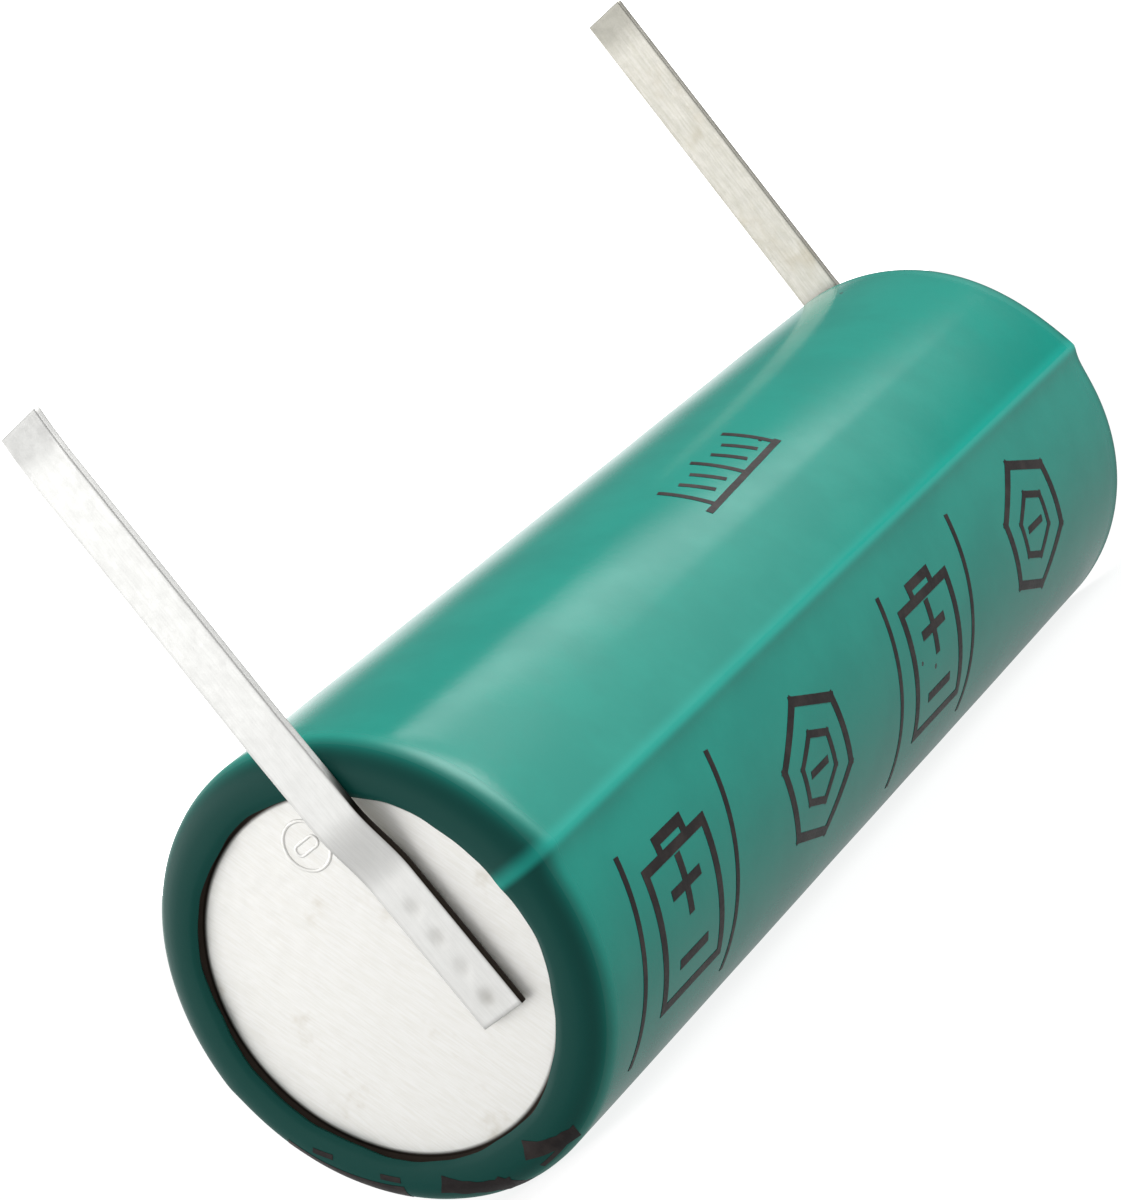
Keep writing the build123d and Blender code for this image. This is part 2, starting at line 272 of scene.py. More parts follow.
def apply_modifier(piece, kind, **settings):
    """Adds a modifier with its settings and applies it."""
    clear_selection()
    piece.select_set(True)
    bpy.context.view_layer.objects.active = piece
    modifier = piece.modifiers.new(kind.lower(), kind)
    for name, value in settings.items():
        setattr(modifier, name, value)
    bpy.ops.object.modifier_apply(modifier=modifier.name)


# The folds stand proud along +X and -X and lean downwards, so that their lower side is the steeper.
# They are sharpest on the body and fade over the lips, and the one along -X is nearly flat.
fold_height = 0.00032
fold_reach_above = 0.0016
fold_reach_below = 0.00042
fold_tip = 0.00012
fold_on_lip = 0.15
flatter_fold = 0.25
folds = sleeve.vertex_groups.new(name="folds")
body = sleeve.vertex_groups.new(name="body")
for vertex in sleeve.data.vertices:
    x, y, z = vertex.co
    radius = math.hypot(x, z)
    from_fold = radius * math.asin(min(1, abs(z) / radius))
    fold_reach = fold_reach_above if z > 0 else fold_reach_below
    ridge = math.exp(-(math.hypot(from_fold, fold_tip) - fold_tip) / fold_reach)
    if x < 0:
        ridge *= flatter_fold
    on_body = min(1, max(0, (radius - sleeve_radius + negative_corner) / negative_corner))
    folds.add([vertex.index], ridge * (fold_on_lip + (1 - fold_on_lip) * on_body**2), "REPLACE")
    body.add([vertex.index], on_body**2, "REPLACE")
apply_modifier(sleeve, "DISPLACE", strength=fold_height, mid_level=0, vertex_group="folds")

# Between them the film is a little slack
slack_height = 0.00003
slack = bpy.data.textures.new("film_slack", "CLOUDS")
slack.noise_scale = 0.007
slack.noise_depth = 1
apply_modifier(
    sleeve, "DISPLACE", strength=slack_height, mid_level=0.6, vertex_group="body",
    texture=slack, texture_coords="LOCAL",
)

# The cut edges of the film draw in a little unevenly
edge_wander = 0.00004
edge_reach = 0.0006
for vertex in sleeve.data.vertices:
    x, y, z = vertex.co
    angle = math.atan2(x, z)
    radius = math.hypot(x, z)
    opening = negative_opening if y < 0 else positive_opening
    share = max(0, 1 - (radius - opening) / edge_reach)
    wander = math.sin(7 * angle + 1) + 0.6 * math.sin(13 * angle + 2) + 0.2 * math.sin(31 * angle)
    scale = 1 + edge_wander * wander * share / radius
    vertex.co = (x * scale, y, z * scale)
apply_modifier(sleeve, "SOLIDIFY", thickness=film_thickness, offset=-1)


def smooth(piece, degrees=35):
    """Shades a piece smooth, with creases kept where its faces meet at more than this angle."""
    clear_selection()
    piece.select_set(True)
    bpy.context.view_layer.objects.active = piece
    bpy.ops.object.shade_smooth_by_angle(angle=math.radians(degrees))


smooth(sleeve)


def new_material(name):
    """A material whose shader is ready to be wired: returns it, its node tree and its shader."""
    material = bpy.data.materials.new(name)
    material.use_nodes = True
    return material, material.node_tree, material.node_tree.nodes["Principled BSDF"]


def new_group(name, inputs, outputs):
    """A shader node group with float inputs {name: default} and float outputs [name]."""
    group = bpy.data.node_groups.new(name, "ShaderNodeTree")
    for socket, value in inputs.items():
        made = group.interface.new_socket(socket, in_out="INPUT", socket_type="NodeSocketFloat")
        made.default_value = value
    for socket in outputs:
        group.interface.new_socket(socket, in_out="OUTPUT", socket_type="NodeSocketFloat")
    return group, group.nodes.new("NodeGroupInput"), group.nodes.new("NodeGroupOutput")


def use_group(tree, group, **values):
    """Places a group in a material with its own values."""
    node = tree.nodes.new("ShaderNodeGroup")
    node.node_tree = group
    for name, value in values.items():
        node.inputs[name].default_value = value
    return node


# Cloudiness: broad and fine variation that every finish here has in its own measure
clouding, given, made = new_group("clouding", {"Broad": 200.0, "Fine": 3000.0}, ["Broad", "Fine"])
place = add_node(clouding, "ShaderNodeTexCoord")
for size in ("Broad", "Fine"):
    noise = add_node(clouding, "ShaderNodeTexNoise", Detail=4.0, Roughness=0.6)
    clouding.links.new(place.outputs["Object"], noise.inputs["Vector"])
    clouding.links.new(given.outputs[size], noise.inputs["Scale"])
    clouding.links.new(noise.outputs["Fac"], made.inputs[size])

# Specks: dust and pinholes, a few dark points in many cells
specks, given, made = new_group("specks", {"Scale": 400.0, "Size": 0.05, "Share": 0.3}, ["Mask"])
place = add_node(specks, "ShaderNodeTexCoord")
cells = add_node(specks, "ShaderNodeTexVoronoi")
specks.links.new(place.outputs["Object"], cells.inputs["Vector"])
specks.links.new(given.outputs["Scale"], cells.inputs["Scale"])
split = add_node(specks, "ShaderNodeSeparateColor")
specks.links.new(cells.outputs["Color"], split.inputs[0])
near = math_node(specks, "LESS_THAN", cells.outputs["Distance"], given.outputs["Size"])
chosen = math_node(specks, "LESS_THAN", split.outputs[0], given.outputs["Share"])
mask = math_node(specks, "MULTIPLY", near, chosen)
specks.links.new(mask, made.inputs["Mask"])


def blend_colours(tree, factor, first, second):
    """Mixes two colours, each a socket or an (r, g, b), by a factor socket; returns the result."""
    node = add_node(tree, "ShaderNodeMix", data_type="RGBA")
    tree.links.new(factor, node.inputs["Factor"])
    for name, value in (("A", first), ("B", second)):
        if isinstance(value, bpy.types.NodeSocket):
            tree.links.new(value, node.inputs[name])
        else:
            node.inputs[name].default_value = (*value, 1)
    return node.outputs["Result"]


def raise_bumps(tree, shader, height, strength, distance):
    """Feeds a height socket to the shader's normal."""
    bump = add_node(tree, "ShaderNodeBump", Strength=strength, Distance=distance)
    tree.links.new(height, bump.inputs["Height"])
    tree.links.new(bump.outputs["Normal"], shader.inputs["Normal"])


film_green = (0.0095, 0.270, 0.211)
film_deep_green = (0.0075, 0.246, 0.193)
# The lips' darker green: the bunched film, with painted shade as the ends face away from the light
lip_green_and_shade = (0.004, 0.068, 0.056)
film_speck = (0.01, 0.03, 0.025)
lip_start, lip_full = sleeve_end - 0.0009, sleeve_end - 0.0001
rough_start, rough_full, rough_gain = sleeve_end - 0.0015, sleeve_end - 0.0006, 0.22
film_grain = 0.000012
# The film is paler along the crest of the fold at +X
crest_green = (0.016, 0.38, 0.31)
crest_width = 0.0006
crest_share = 0.75
crest_side = 0.001
film, tree, shader = new_material("green_film")
clouds = use_group(tree, clouding, Broad=260.0, Fine=5200.0)
tone = remap(tree, clouds.outputs["Broad"], 0.35, 0.65, 0, 1)
colour = blend_colours(tree, tone, film_green, film_deep_green)
place = add_node(tree, "ShaderNodeTexCoord")
split = add_node(tree, "ShaderNodeSeparateXYZ")
tree.links.new(place.outputs["Object"], split.inputs[0])
along = math_node(tree, "ABSOLUTE", split.outputs["Y"])
# Darker green over the lips, partly painted shade
on_lip = remap(tree, along, lip_start, lip_full, 0, 1)
colour = blend_colours(tree, on_lip, colour, lip_green_and_shade)
pale_crest = remap(tree, split.outputs["Z"], -crest_width / 2, 0, 0, 1)
past_crest = remap(tree, split.outputs["Z"], 0, crest_width, 1, 0)
crest = math_node(tree, "MULTIPLY", pale_crest, past_crest)
near_side = remap(tree, split.outputs["X"], -crest_side, crest_side, 0, crest_share)
# The crest is paler on the +X side only
paler_crest = math_node(tree, "MULTIPLY", crest, near_side)
colour = blend_colours(tree, paler_crest, colour, crest_green)
dust = use_group(tree, specks, Scale=320.0, Size=0.035, Share=0.22)
colour = blend_colours(tree, dust.outputs["Mask"], colour, film_speck)
tree.links.new(colour, shader.inputs["Base Color"])
shader.inputs["IOR"].default_value = 1.38
gloss = remap(tree, clouds.outputs["Broad"], 0.3, 0.7, 0.14, 0.18)
on_corner = remap(tree, along, rough_start, rough_full, 0, rough_gain)
gloss = math_node(tree, "ADD", on_corner, gloss)
tree.links.new(gloss, shader.inputs["Roughness"])
raise_bumps(tree, shader, clouds.outputs["Fine"], 0.25, film_grain)
sleeve.data.materials.append(film)

# Over the lips the film is bunched together, so it is darker and has lost its shine. Part of that
# darker green is painted shade, as the lips face away from the light
lip_shine = 0.2
lip_depth = 0.0004
lip_film = film.copy()
lip_film.name = "lip_film"
shader = lip_film.node_tree.nodes["Principled BSDF"]
shader.inputs["Specular IOR Level"].default_value = lip_shine
sleeve.data.materials.append(lip_film)
for face in sleeve.data.polygons:
    if abs(face.center.y) > sleeve_end - lip_depth:
        face.material_index = 1
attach(sleeve, "cell")
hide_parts("shrink_sleeve")

# PRINTING
# Dark brown ink, printed on the flat film before it was shrunk: plain pictograms of a cell,
# hexagons and bars in two rows, and broad bands that run over the near lip. Every stroke is a thin
# layer of ink.
ink_line = 0.00038
ink_fine_line = 0.00028
ink_lift = 0.000014
ink_thickness = 0.00001
ink_step_along, ink_step_across = 0.0002, 0.0003
ink_strokes = []


def print_stroke(start, end, width):
    """A straight stroke on the flat film, from start to end as (angle in degrees, y in metres)."""
    (angle_a, y_a), (angle_b, y_b) = start, end
    arc_a = math.radians(angle_a) * sleeve_radius
    arc_b = math.radians(angle_b) * sleeve_radius
    length = math.hypot(arc_b - arc_a, y_b - y_a)
    clear_selection()
    bpy.ops.mesh.primitive_grid_add(
        x_subdivisions=max(2, round(length / ink_step_along)),
        y_subdivisions=max(2, round(width / ink_step_across)),
        size=1,
        location=((arc_a + arc_b) / 2, (y_a + y_b) / 2, 0),
        rotation=(0, 0, math.atan2(y_b - y_a, arc_b - arc_a)),
    )
    stroke = bpy.context.object
    stroke.scale = (length + width, width, 1)
    bpy.ops.object.transform_apply(location=True, rotation=True, scale=True)
    ink_strokes.append(stroke)


def print_outline(points, width):
    """A closed outline of strokes through the points."""
    for start, end in zip(points, points[1:] + points[:1]):
        print_stroke(start, end, width)


def print_cell_sign(angle, y):
    """A standing cell with its cap and a plus and a minus sign between two long strokes.

    The middle is at (angle, y). Heights run round the sleeve in degrees, widths along it in metres.
    """
    half_width, half_height, cap_width, cap_height = 0.0022, 17, 0.0009, 4
    sides = [(-half_height, -half_width), (half_height, -half_width), (half_height, half_width)]
    sides.append((-half_height, half_width))
    print_outline([(angle + a, y + v) for a, v in sides], ink_line)
    top = angle - half_height
    cap = [(top, -cap_width), (top - cap_height, -cap_width), (top - cap_height, cap_width)]
    cap.append((top, cap_width))
    for (a, v), (b, w) in zip(cap, cap[1:]):
        print_stroke((a, y + v), (b, y + w), ink_line)
    arm = 0.0009
    tall = math.degrees(arm / sleeve_radius)
    plus, minus = angle - 8, angle + 9
    print_stroke((plus, y - arm), (plus, y + arm), ink_line)
    print_stroke((plus - tall, y), (plus + tall, y), ink_line)
    print_stroke((minus, y - arm), (minus, y + arm), ink_line)
    for top, start, foot, finish in ((-27, 0.0042, 25, 0.0031), (-24, -0.0033, 25, -0.0041)):
        print_stroke((angle + top, y + start), (angle + foot, y + finish), ink_fine_line)


def print_hexagon(angle, y, size, width):
    """A regular hexagon of the given radius, turned a little from upright."""
    points = []
    for side in range(6):
        turn = math.radians(60 * side + 20)
        round_sleeve = math.degrees(size * math.sin(turn) / sleeve_radius)
        points.append((angle + round_sleeve, y + size * math.cos(turn)))
    print_outline(points, width)


def print_hexagon_sign(angle, y):
    """Two nested hexagons with a bar through the middle."""
    outer, inner, half_bar = 0.0028, 0.0014, 0.0006
    print_hexagon(angle, y, outer, ink_line)
    print_hexagon(angle, y, inner, ink_fine_line)
    print_stroke((angle, y - half_bar), (angle, y + half_bar), ink_fine_line)


print_cell_sign(127, -0.0182)
print_hexagon_sign(124, -0.0073)
print_cell_sign(127, 0.0040)
print_hexagon_sign(120, 0.0150)

# A row of bars on a base line, every third one longer, slanting a little across the film
bar_start, bar_pitch, bar_lean = -0.0021, 0.00105, 0.0003
bar_angle, bar_drift = 49, 0.3
short_bar, long_bar = 3.6, 6.4
for bar in range(7):
    bar_y = bar_start + bar * bar_pitch
    reach = short_bar if bar % 3 else long_bar
    print_stroke(
        (bar_angle - reach - bar * bar_drift, bar_y),
        (bar_angle + reach - bar * bar_drift, bar_y + bar_lean),
        ink_fine_line,
    )
print_stroke((57, -0.0024), (54, 0.0046), ink_fine_line)

# Broad bands that reach the end of the film and roll over the lip with it
ink_band = 0.0008
print_stroke((247, -0.0250), (221, -0.0252), ink_band * 1.4)
print_stroke((203, -0.0259), (190, -0.0252), ink_band * 1.2)
print_stroke((190, -0.0252), (187, -0.0243), ink_band * 1.2)
print_stroke((174, -0.0260), (165, -0.0250), ink_band * 1.1)
print_stroke((176, -0.0249), (165, -0.0249), ink_fine_line)
print_stroke((243, -0.0261), (239, -0.0262), ink_fine_line)
print_stroke((223, -0.0262), (219, -0.0262), ink_fine_line)

# A large minus and plus on the hidden side, each near its own pole, with a line between them
sign_angle, sign_reach = 250, 0.0022
pole_y, line_y = 0.0180, 0.0125
sign_tall = math.degrees(sign_reach / sleeve_radius)
for sign_y in (-pole_y, pole_y):
    print_stroke((sign_angle - sign_tall, sign_y), (sign_angle + sign_tall, sign_y), ink_band)
print_stroke((sign_angle, pole_y - sign_reach), (sign_angle, pole_y + sign_reach), ink_band)
print_stroke((sign_angle, -line_y), (sign_angle, line_y), ink_fine_line)

clear_selection()
for stroke in ink_strokes:
    stroke.select_set(True)
bpy.context.view_layer.objects.active = ink_strokes[0]
bpy.ops.object.join()
printing = bpy.context.object
printing.name = "film_printing"
reach = sleeve_radius + 2 * fold_height
for vertex in printing.data.vertices:
    angle = vertex.co.x / sleeve_radius
    radius, y = reach, vertex.co.y
    turn = (body_start - y) / negative_corner
    if turn > math.pi / 2:
        radius -= negative_corner * (1 + turn - math.pi / 2)
        y = body_start - negative_corner - 2 * fold_height
    elif turn > 0:
        radius -= negative_corner * (1 - math.cos(turn))
        y = body_start - (negative_corner + 2 * fold_height) * math.sin(turn)
    vertex.co = (radius * math.sin(angle), y, radius * math.cos(angle))
apply_modifier(
    printing, "SHRINKWRAP", target=sleeve, wrap_method="NEAREST_SURFACEPOINT",
    wrap_mode="ABOVE_SURFACE", offset=ink_lift,
)
apply_modifier(printing, "SOLIDIFY", thickness=ink_thickness, offset=-1)
smooth(printing)

ink_brown = (0.014, 0.010, 0.010)
ink_worn_brown = (0.034, 0.026, 0.024)
ink_shine = 0.2
ink, tree, shader = new_material("brown_ink")
clouds = use_group(tree, clouding, Broad=900.0, Fine=9000.0)
tone = remap(tree, clouds.outputs["Broad"], 0.4, 0.7, 0, 1)
colour = blend_colours(tree, tone, ink_brown, ink_worn_brown)
tree.links.new(colour, shader.inputs["Base Color"])
gloss = remap(tree, clouds.outputs["Fine"], 0.3, 0.7, 0.3, 0.45)
tree.links.new(gloss, shader.inputs["Roughness"])
shader.inputs["Specular IOR Level"].default_value = ink_shine
printing.data.materials.append(ink)
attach(printing, "cell")

# CAN
# A cup of nickel-plated steel, drawn from sheet. Its flat bottom is the negative pole and shows
# inside the lip of the sleeve: dull bright nickel, rolled and then scuffed, with a small raised
# sign.
scuffing, given, made = new_group(
    "scuffing", {"Scale": 900.0, "Stretch": 14.0, "Turn": 0.0}, ["Fine", "Lines"]
)
place = add_node(scuffing, "ShaderNodeTexCoord")
turned = add_node(scuffing, "ShaderNodeVectorRotate", rotation_type="Y_AXIS")
scuffing.links.new(place.outputs["Object"], turned.inputs["Vector"])
scuffing.links.new(given.outputs["Turn"], turned.inputs["Angle"])
split = add_node(scuffing, "ShaderNodeSeparateXYZ")
scuffing.links.new(turned.outputs[0], split.inputs[0])
thin = math_node(scuffing, "MULTIPLY", split.outputs["X"], given.outputs["Stretch"])
joined = add_node(scuffing, "ShaderNodeCombineXYZ")
scuffing.links.new(thin, joined.inputs["X"])
scuffing.links.new(split.outputs["Y"], joined.inputs["Y"])
scuffing.links.new(split.outputs["Z"], joined.inputs["Z"])
lines = add_node(scuffing, "ShaderNodeTexNoise", Detail=5.0, Roughness=0.7)
scuffing.links.new(joined.outputs[0], lines.inputs["Vector"])
scuffing.links.new(given.outputs["Scale"], lines.inputs["Scale"])
grain = add_node(scuffing, "ShaderNodeTexNoise", Detail=6.0, Roughness=0.75)
scuffing.links.new(place.outputs["Object"], grain.inputs["Vector"])
finer = math_node(scuffing, "MULTIPLY", given.outputs["Scale"], 7.0)
scuffing.links.new(finer, grain.inputs["Scale"])
scuffing.links.new(grain.outputs["Fac"], made.inputs["Fine"])
scuffing.links.new(lines.outputs["Fac"], made.inputs["Lines"])


# Painted shade: dark brown in the lip's crevice and on the sheared sides of the tags' feet
painted_shade_colour = (0.035, 0.026, 0.020)
warm_stain = (0.52, 0.44, 0.30)
weld_grey = (0.50, 0.49, 0.46)
# How far out on the can's bottom the painted shade lies, and where it stops up the can's wall
rim_shade_start, rim_shade_end = 0.00648, 0.00665
rim_shade_low, rim_shade_high = -0.0243, -0.0240
# On a strip: the darker edges from its middle line outwards, the darkening down from its top, and
# the height up to which painted shade darkens its sheared sides
edge_dark_start, edge_dark_end, edge_dark_share = 0.00080, 0.00096, 0.55
top_dark_start, top_dark_end, top_dark_share = 0.0022, 0.0006, 0.85
top_dark_factor = 0.66
side_shade_full, side_shade_none = 0.0048, 0.0068
metal_share = 0.92
uneven_gloss = 0.04
scuff_depth = 0.00001


def nickel(
    name, bright, dull, rough, turn, stain=warm_stain, stain_level=0.72, rim_shade=False, strip=None
):
    """Nickel plate or strip: two tones, a roughness, the turn of its scuffs and a faint stain.

    Painted shade may lie in the crevice under the sleeve's lip. A strip is given as its offset and
    its top: it has darker edges, a darker top, painted shade on the sheared sides of its foot and
    grey weld spots.
    """
    material, tree, shader = new_material(name)
    scuffs = use_group(tree, scuffing, Scale=900.0, Stretch=14.0, Turn=turn)
    clouds = use_group(tree, clouding, Broad=420.0, Fine=2600.0)
    tone = remap(tree, scuffs.outputs["Lines"], 0.35, 0.65, 0, 1)
    colour = blend_colours(tree, tone, bright, dull)
    stained = remap(tree, clouds.outputs["Broad"], stain_level - 0.12, stain_level + 0.12, 0, 0.55)
    colour = blend_colours(tree, stained, colour, stain)
    place = add_node(tree, "ShaderNodeTexCoord")
    split = add_node(tree, "ShaderNodeSeparateXYZ")
    tree.links.new(place.outputs["Object"], split.inputs[0])
    if rim_shade:
        # Painted shade in the crevice just inside the sleeve's lip
        flat = add_node(tree, "ShaderNodeCombineXYZ")
        tree.links.new(split.outputs["X"], flat.inputs["X"])
        tree.links.new(split.outputs["Z"], flat.inputs["Z"])
        radius = add_node(tree, "ShaderNodeVectorMath", operation="LENGTH")
        tree.links.new(flat.outputs[0], radius.inputs[0])
        ring = remap(tree, radius.outputs["Value"], rim_shade_start, rim_shade_end, 0, 1)
        end = remap(tree, split.outputs["Y"], rim_shade_low, rim_shade_high, 1, 0)
        colour = blend_colours(tree, math_node(tree, "MULTIPLY", ring, end), colour, painted_shade_colour)
    if strip:
        offset, top = strip
        sideways = math_node(tree, "SUBTRACT", split.outputs["X"], offset)
        across = math_node(tree, "ABSOLUTE", sideways)
        # Darker towards the long edges, and darker towards the top
        darker_edges = remap(tree, across, edge_dark_start, edge_dark_end, 0, edge_dark_share)
        darker_top = remap(
            tree, split.outputs["Z"], top - top_dark_start, top - top_dark_end, 0, top_dark_share
        )
        darker_top = math_node(tree, "MAXIMUM", darker_edges, darker_top)
        colour = blend_colours(tree, darker_top, colour, [top_dark_factor * value for value in dull])
        # Painted shade: the sheared sides of the foot darken where the shadow gap under the strip
        # lies
        side = add_node(tree, "ShaderNodeSeparateXYZ")
        tree.links.new(place.outputs["Normal"], side.inputs[0])
        facing = remap(tree, math_node(tree, "ABSOLUTE", side.outputs["X"]), 0.5, 0.8, 0, 1)
        low = remap(tree, split.outputs["Z"], side_shade_full, side_shade_none, 1, 0)
        colour = blend_colours(tree, math_node(tree, "MULTIPLY", facing, low), colour, painted_shade_colour)
        weld = add_node(tree, "ShaderNodeAttribute", attribute_name="weld_heat")
        colour = blend_colours(tree, weld.outputs["Fac"], colour, weld_grey)
    tree.links.new(colour, shader.inputs["Base Color"])
    shader.inputs["Metallic"].default_value = metal_share
    uneven = remap(
        tree, clouds.outputs["Fine"], 0.3, 0.7, rough - uneven_gloss, rough + uneven_gloss
    )
    tree.links.new(uneven, shader.inputs["Roughness"])
    height = math_node(tree, "MULTIPLY_ADD", scuffs.outputs["Lines"], 0.7, scuffs.outputs["Fine"])
    raise_bumps(tree, shader, height, 0.35, scuff_depth)
    return material


can_plate = nickel(
    "can_plate", (0.96, 0.955, 0.93), (0.91, 0.90, 0.86), 0.58, math.radians(20), rim_shade=True
)
cap_plate = nickel("cap_plate", (0.84, 0.83, 0.79), (0.74, 0.73, 0.69), 0.36, math.radians(70))


def refinish(node, material):
    """Gives a CAD node a better material."""
    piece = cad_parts[node]
    piece.data.materials.clear()
    piece.data.materials.append(material)


refinish("can", can_plate)

# The raised sign on the can's bottom: a ring with a short bar in it, for minus
disc_y = -0.02459
sign_height = 0.00003
sign_x, sign_z = 0.0012, 0.0048
ring_radius, ring_line = 0.0009, 0.00007
bar_radius, bar_line = 0.00020, 0.00006
bar_reach = 0.00032
sign_parts = []
clear_selection()
bpy.ops.mesh.primitive_torus_add(
    location=(sign_x, disc_y, sign_z), rotation=(math.pi / 2, 0, 0),
    major_radius=ring_radius, minor_radius=ring_line, major_segments=72, minor_segments=10,
)
sign_parts.append(bpy.context.object)
bpy.ops.mesh.primitive_torus_add(
    location=(sign_x, disc_y, sign_z), rotation=(math.pi / 2, 0, 0),
    major_radius=bar_radius, minor_radius=bar_line, major_segments=48, minor_segments=10,
)
bar = bpy.context.object
bpy.ops.object.mode_set(mode="EDIT")
bpy.ops.mesh.select_all(action="SELECT")
bpy.ops.mesh.bisect(plane_co=(sign_x, disc_y, sign_z), plane_no=(1, 0, 0))
bpy.ops.object.mode_set(mode="OBJECT")
for vertex in bar.data.vertices:
    vertex.co.x += math.copysign(bar_reach, vertex.co.x) if abs(vertex.co.x) > 1e-7 else 0
sign_parts.append(bar)
clear_selection()
for part in sign_parts:
    part.select_set(True)
bpy.context.view_layer.objects.active = sign_parts[0]
bpy.ops.object.join()
pole_sign = bpy.context.object
pole_sign.name = "pole_sign"
bpy.ops.object.transform_apply(location=True, rotation=True, scale=True)
for vertex in pole_sign.data.vertices:
    vertex.co.y = disc_y + (vertex.co.y - disc_y) * sign_height / bar_line
smooth(pole_sign, 60)
pole_sign.data.materials.append(can_plate)
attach(pole_sign, "cell")

# SOLDER TAGS
# Each tag is one strip cut from rolled nickel ribbon, held to its pole by four spot welds that
# leave small dents, and bent away from the pole by hand. It bends on the line where it leaves the
# sleeve.
strip_width = 0.00195
strip_thickness = 0.0003
strip_columns = 26
row_height = 0.00008
edge_round = 0.00004
dent_radius = 0.00032
dent_depth = 0.000014
weld_pitch = 0.00125
weld_margin = 0.0008
crown_height, crown_at, crown_width = 0.12, 1.3 * dent_radius, 0.3 * dent_radius
weld_tint = (0.8, 0.3, 0.5, 0.35)


def roll_strip(name, offset, outwards, path):
    """Extrudes a strip along stations (z, y of its inner face), thickened outwards."""
    clear_selection()
    foot_z, foot_y = path[0]
    bpy.ops.mesh.primitive_grid_add(
        x_subdivisions=strip_columns, y_subdivisions=3, size=1,
        location=(offset, foot_y + outwards * strip_thickness / 2, foot_z),
    )
    strip = bpy.context.object
    strip.name = name
    strip.scale = (strip_width, strip_thickness, 1)
    bpy.ops.object.transform_apply(location=True, rotation=True, scale=True)
    bpy.ops.object.mode_set(mode="EDIT")
    bpy.ops.mesh.select_all(action="SELECT")
    for (z, y), (next_z, next_y) in zip(path, path[1:]):
        bpy.ops.mesh.extrude_region_move(
            TRANSFORM_OT_translate={"value": (0, next_y - y, next_z - z)}
        )
    bpy.ops.mesh.select_all(action="SELECT")
    bpy.ops.mesh.normals_make_consistent(inside=False)
    bpy.ops.object.mode_set(mode="OBJECT")
    return strip


def ease(share):
    """Runs from 0 to 1 with a soft start and a soft stop."""
    return share * share * (3 - 2 * share)


def weld_strip(strip, offset, outwards, foot_z):
    """Presses four round dents into the outer face of the strip's foot."""
    inner_y = min(v.co.y * outwards for v in strip.data.vertices if v.co.z < foot_z + weld_margin)
    heat = strip.data.attributes.new("weld_heat", "FLOAT", "POINT")
    for vertex in strip.data.vertices:
        for spot in range(4):
            spot_z = foot_z + weld_margin + spot * weld_pitch
            away = math.hypot(vertex.co.x - offset, vertex.co.z - spot_z)
            deep = math.exp(-((away / dent_radius) ** 4))
            crown = crown_height * math.exp(-(((away - crown_at) / crown_width) ** 2))
            share = (vertex.co.y * outwards - inner_y) / strip_thickness
            vertex.co.y -= outwards * dent_depth * (deep - crown) * max(0, share)
            warm = math.exp(-((away / dent_radius) ** 2))
            heat.data[vertex.index].value += weld_tint[spot] * warm


def finish_strip(strip, material):
    """Rounds the sheared edges of a strip and gives it its nickel."""
    apply_modifier(strip, "BEVEL", width=edge_round, segments=2, limit_method="ANGLE")
    smooth(strip, 50)
    strip.data.materials.append(material)


bend_z = 0.00875

# The negative tag: its foot lies within the sleeve's opening, then it steps out to clear the lip,
# and its end curls back over the cell by a hair
negative_offset = 0.0034
negative_foot_z = -0.00345
foot_gap = 0.0001
negative_foot_y = disc_y - foot_gap
joggle_start, joggle_end = 0.0022, 0.0049
negative_arm_y = -0.02505
negative_lean = math.tan(math.radians(1.0))
negative_top = 0.02125
curl_length = 0.0020
curl_depth = 0.00013
path = []
rows = round((negative_top - negative_foot_z) / (2 * row_height))
for row in range(rows + 1):
    z = negative_foot_z + (negative_top - negative_foot_z) * row / rows
    step_share = min(1, max(0, (z - joggle_start) / (joggle_end - joggle_start)))
    y = negative_foot_y + (negative_arm_y - negative_foot_y) * ease(step_share)
    y += negative_lean * max(0, z - bend_z)
    y += curl_depth * (max(0, z - negative_top + curl_length) / curl_length) ** 2
    path.append((z, y))
negative_strip = roll_strip("negative_strip", negative_offset, -1, path)
weld_strip(negative_strip, negative_offset, -1, negative_foot_z)
ribbon = nickel(
    "ribbon_nickel", (0.84, 0.84, 0.82), (0.79, 0.79, 0.77), 0.5, 0, stain_level=0.84,
    strip=(negative_offset, negative_top),
)
finish_strip(negative_strip, ribbon)
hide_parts("negative_tag", "negative_tag_arm")
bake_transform(negative_strip)

# The positive tag: straight, leaning outwards from the bend, and tarnished
positive_offset = 0.00045
positive_foot_z = -0.0024
positive_arm_y = 0.02535
positive_lean = math.tan(math.radians(3.5))
positive_top = 0.02382
path = []
rows = round((positive_top - positive_foot_z) / (2 * row_height))
for row in range(rows + 1):
    z = positive_foot_z + (positive_top - positive_foot_z) * row / rows
    y = positive_arm_y + positive_lean * max(0, z - bend_z)
    path.append((z, y))
positive_strip = roll_strip("positive_strip", positive_offset, 1, path)
weld_strip(positive_strip, positive_offset, 1, positive_foot_z)
tarnished = nickel(
    "tarnished_ribbon", (0.63, 0.61, 0.56), (0.54, 0.525, 0.46), 0.38, 0, (0.46, 0.41, 0.31), 0.62,
    strip=(positive_offset, positive_top),
)
finish_strip(positive_strip, tarnished)
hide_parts("positive_tag", "positive_tag_arm")
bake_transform(positive_strip)

# POSITIVE END
# The pressed cap stands in the middle with its vent holes in its side wall. A white ring of pressed
# fibre lies between it and the crimped rim, and black bitumen seals the gasket under the rim.
refinish("terminal_cap", cap_plate)
refinish("sealing_plate", cap_plate)
refinish("valve_plate", cap_plate)

matt_variation = 0.06


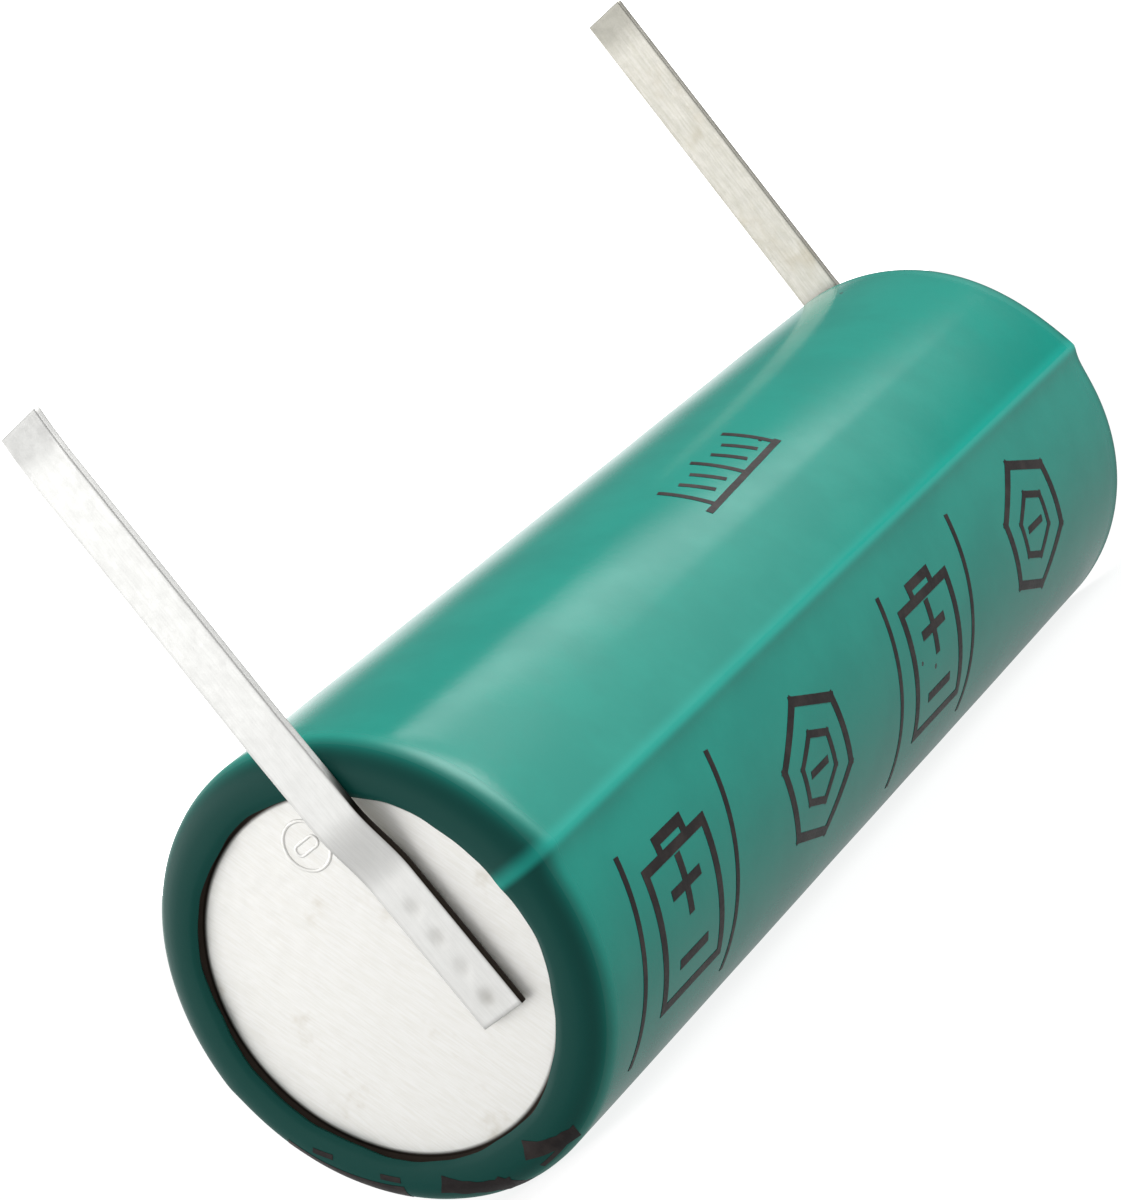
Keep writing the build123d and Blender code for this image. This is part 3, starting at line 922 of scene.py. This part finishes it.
def matt(name, light, dark, rough, broad, fine, grain_height):
    """A plain solid stuff in two tones with a fine surface grain of the given height in metres."""
    material, tree, shader = new_material(name)
    clouds = use_group(tree, clouding, Broad=broad, Fine=fine)
    tone = remap(tree, clouds.outputs["Broad"], 0.3, 0.7, 0, 1)
    colour = blend_colours(tree, tone, light, dark)
    tree.links.new(colour, shader.inputs["Base Color"])
    uneven = remap(
        tree, clouds.outputs["Fine"], 0.3, 0.7, rough - matt_variation, rough + matt_variation
    )
    tree.links.new(uneven, shader.inputs["Roughness"])
    raise_bumps(tree, shader, clouds.outputs["Fine"], 0.6, grain_height)
    return material


fibre = matt("pressed_fibre", (0.80, 0.80, 0.76), (0.68, 0.67, 0.62), 0.85, 700.0, 7000.0, 0.00003)
refinish("insulating_washer", fibre)
nylon = matt("natural_nylon", (0.80, 0.78, 0.70), (0.72, 0.70, 0.62), 0.45, 500.0, 5000.0, 0.00001)
refinish("sealing_gasket", nylon)
bitumen = matt("bitumen", (0.012, 0.011, 0.010), (0.03, 0.028, 0.025), 0.5, 900.0, 4000.0, 0.00003)
refinish("sealant_ring", bitumen)

# SAFETY VALVE
# A disc of black rubber shuts the vent hole, held down by a steel plate and a coil spring under the
# cap. Pressure in the cell lifts rubber and plate together, and the spring closes up by as much.
rubber = matt(
    "valve_rubber", (0.02, 0.02, 0.02), (0.035, 0.034, 0.033), 0.7, 900.0, 6000.0, 0.00002
)
refinish("valve_rubber", rubber)
spring_low, spring_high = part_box("vent_spring")
wire_radius = 0.00015
wire_points = 14
coil_radius = spring_high.x - wire_radius
coil_turns = 3
coil_steps = 48
spring_length = spring_high.y - spring_low.y
coil_rise = (spring_length - 2 * wire_radius) / coil_turns
clear_selection()
bpy.ops.mesh.primitive_circle_add(
    vertices=wire_points,
    radius=wire_radius,
    location=(coil_radius, 0, 0),
    rotation=(math.pi / 2, 0, 0),
)
spring = bpy.context.object
spring.name = "valve_spring"
bpy.ops.object.transform_apply(location=True, rotation=True, scale=True)
apply_modifier(
    spring, "SCREW", axis="Z", angle=2 * math.pi, screw_offset=coil_rise, iterations=coil_turns,
    steps=coil_steps, render_steps=coil_steps,
)
bpy.ops.object.mode_set(mode="EDIT")
bpy.ops.mesh.select_all(action="DESELECT")
bpy.ops.mesh.select_mode(type="EDGE")
bpy.ops.mesh.select_non_manifold()
bpy.ops.mesh.fill_holes(sides=0)
bpy.ops.mesh.select_all(action="SELECT")
bpy.ops.mesh.normals_make_consistent(inside=False)
bpy.ops.object.mode_set(mode="OBJECT")
spring.rotation_euler = (-math.pi / 2, 0, 0)
spring.location = (0, spring_low.y + wire_radius, 0)
bpy.ops.object.transform_apply(location=True, rotation=True, scale=True)
smooth(spring, 60)
drawn_wire = nickel("drawn_wire", (0.56, 0.56, 0.56), (0.48, 0.48, 0.48), 0.3, 0)
spring.data.materials.append(drawn_wire)
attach(spring, "cell")
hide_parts("vent_spring")
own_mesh(spring)

# WINDING
# Two long strips, nickel foam filled with hydroxide and steel coated with metal hydride, are wound
# together with fleece between them. A slotted nickel disc is welded to each one's bare edge.
foam = matt("filled_foam", (0.06, 0.075, 0.06), (0.10, 0.11, 0.09), 0.85, 2500.0, 9000.0, 0.00005)
refinish("positive_electrode", foam)
coated = matt("coated_steel", (0.13, 0.12, 0.12), (0.20, 0.19, 0.19), 0.7, 1500.0, 8000.0, 0.00003)
refinish("negative_electrode", coated)
fleece = matt("fleece", (0.86, 0.86, 0.84), (0.70, 0.70, 0.68), 0.95, 3000.0, 12000.0, 0.00006)
for layer in ("separator_inner", "separator_outer"):
    refinish(layer, fleece)
soft_nickel = nickel("soft_nickel", (0.80, 0.79, 0.76), (0.70, 0.69, 0.66), 0.4, 0)
for strip in ("negative_collector", "positive_collector", "positive_lead"):
    refinish(strip, soft_nickel)
sheet = matt("punched_sheet", (0.78, 0.80, 0.78), (0.70, 0.72, 0.70), 0.4, 600.0, 5000.0, 0.000008)
refinish("top_insulator", sheet)
